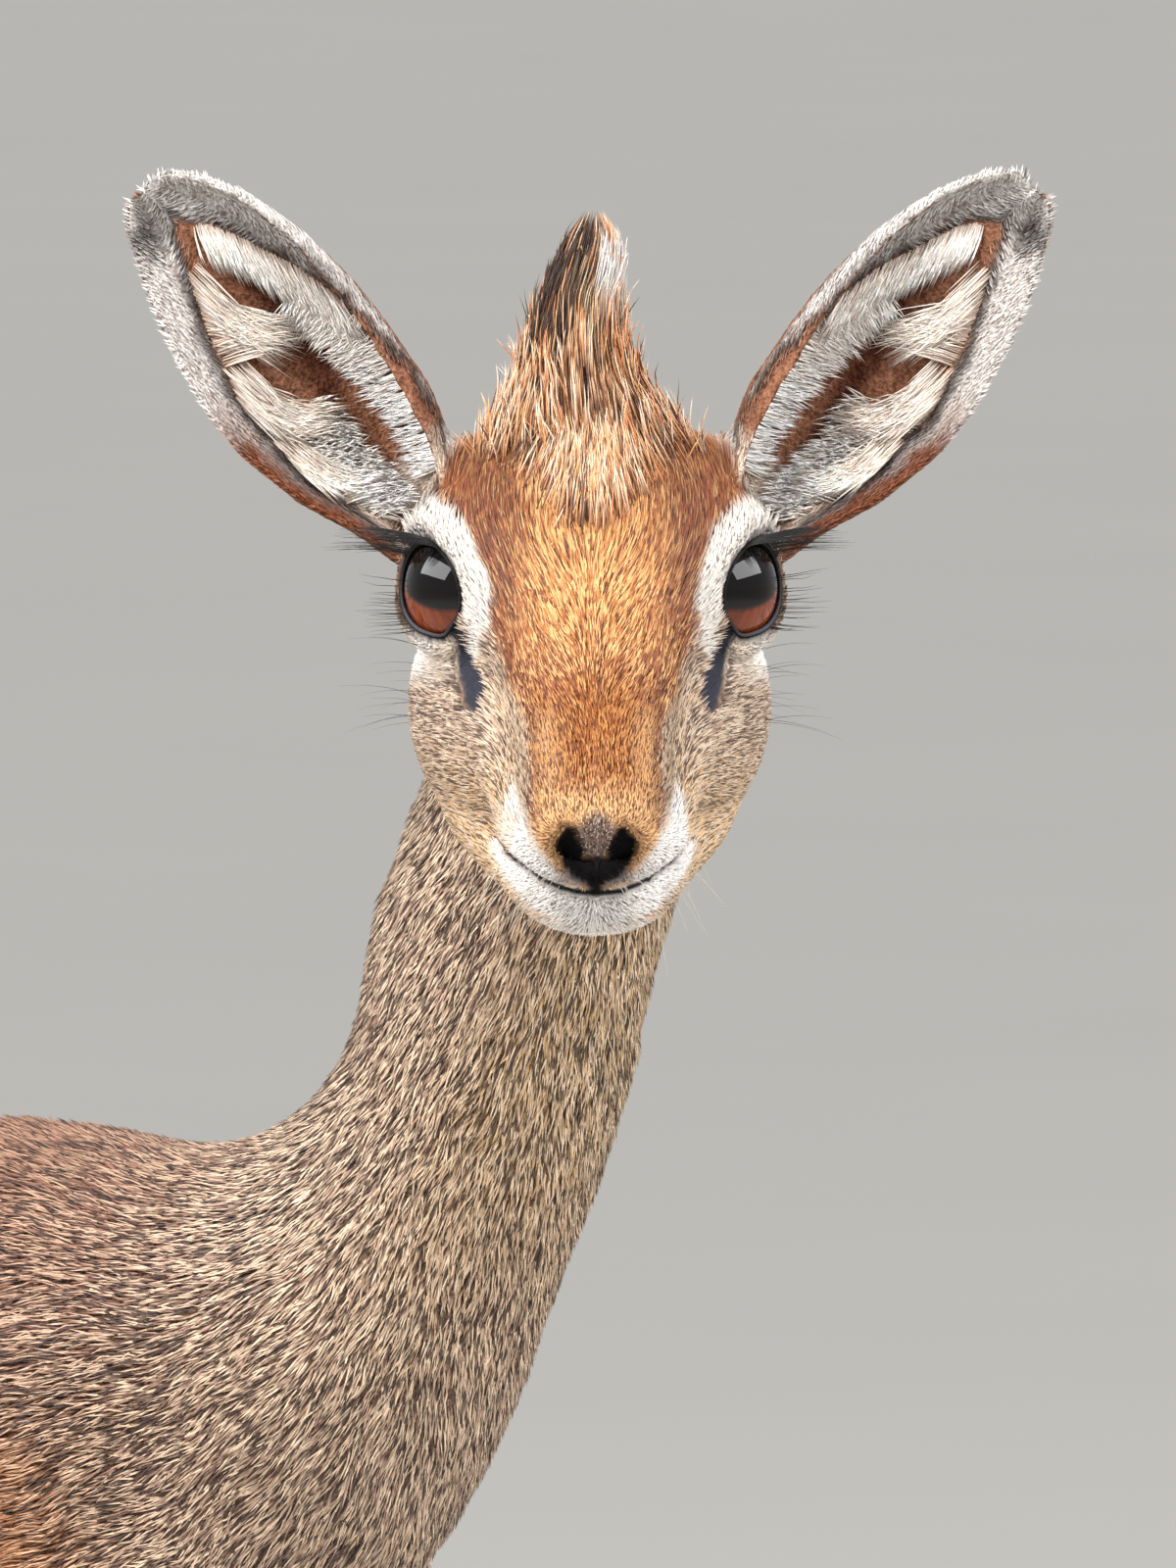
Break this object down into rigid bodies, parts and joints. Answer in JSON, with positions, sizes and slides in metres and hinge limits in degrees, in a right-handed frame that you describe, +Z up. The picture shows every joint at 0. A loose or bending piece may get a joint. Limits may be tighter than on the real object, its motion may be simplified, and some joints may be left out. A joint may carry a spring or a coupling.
{
  "type": "dik dik",
  "caption": "Standing female dik-dik, life-size still model: small slender antelope with large cupped ears, big dark eyes, a raised crown crest, head turned to its right and pointed cloven hooves",
  "frame": {"origin": "centre of the bounding box at its bottom, the plane of the soles", "axes": "+Z up, the body faces -Y, +X to the animal's left; the head is turned to its right"},
  "size_m": [0.1672, 0.5174, 0.5593],
  "materials": {
    "face_coat": "short dense orange-brown fur with a pale ring round each eye, matt",
    "neck_coat": "short grizzled grey-brown fur, matt",
    "body_coat": "short grizzled brown fur with a pale belly, matt",
    "leg_coat": "very short tan fur, matt",
    "ear_coat": "thin skin with long pale hairs inside and short orange-brown fur behind",
    "eyeball": "wet, glossy, very dark brown",
    "hoof_horn": "smooth dark horn, satin"
  },
  "bodies": {
    "root": {"head": "face_coat", "neck": "neck_coat", "torso": "body_coat", "tail": "body_coat", "ear_left": "ear_coat", "ear_right": "ear_coat", "eye_left": "eyeball", "eye_right": "eyeball", "foreleg_left": "leg_coat", "foreleg_right": "leg_coat", "hindleg_left": "leg_coat", "hindleg_right": "leg_coat", "hoof_fore_left_inner": "hoof_horn", "hoof_fore_left_outer": "hoof_horn", "hoof_fore_right_inner": "hoof_horn", "hoof_fore_right_outer": "hoof_horn", "hoof_hind_left_inner": "hoof_horn", "hoof_hind_left_outer": "hoof_horn", "hoof_hind_right_inner": "hoof_horn", "hoof_hind_right_outer": "hoof_horn"}
  },
  "joints": []
}
